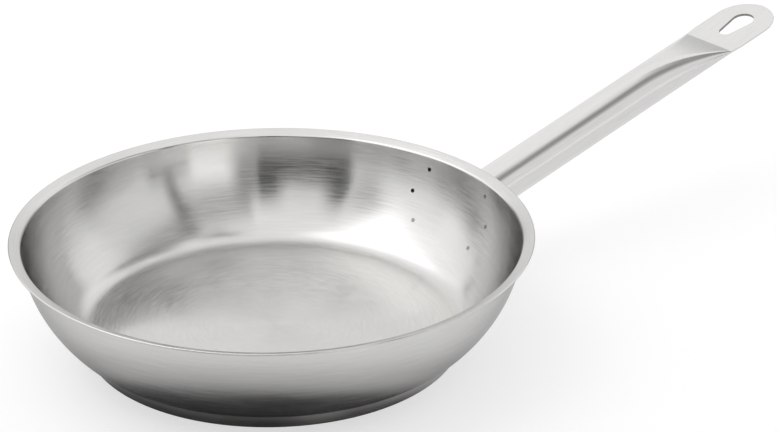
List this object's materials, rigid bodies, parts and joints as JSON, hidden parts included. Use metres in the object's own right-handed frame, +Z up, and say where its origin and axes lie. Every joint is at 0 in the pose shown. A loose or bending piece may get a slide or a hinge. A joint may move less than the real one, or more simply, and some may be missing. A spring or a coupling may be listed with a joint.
{
  "type": "frying pan",
  "caption": "Satin steel frying pan with a flared pouring lip, a thick bonded base and a rising round tube handle, pressed flat at its end round a teardrop hanging eye.",
  "frame": {"origin": "on the pan's axis, at the underside of the base", "axes": "+X from the pan's axis towards the handle, +Z up, +Y to the left of the handle as seen from the pan's axis"},
  "size_m": [0.5169, 0.28, 0.1007],
  "materials": {
    "satin_steel": "satin, brushed round the bowl and along the handle",
    "base_steel": "fine turned",
    "core_aluminium": "plain rolled",
    "weld_steel": "as welded"
  },
  "bodies": {
    "root": {"pan_body": "satin_steel", "base_spreader": "core_aluminium", "base_cap": "base_steel", "handle_bracket": "satin_steel", "spot_welds": "weld_steel", "handle_weld_bead": "weld_steel", "handle_tube": "satin_steel"}
  },
  "joints": []
}
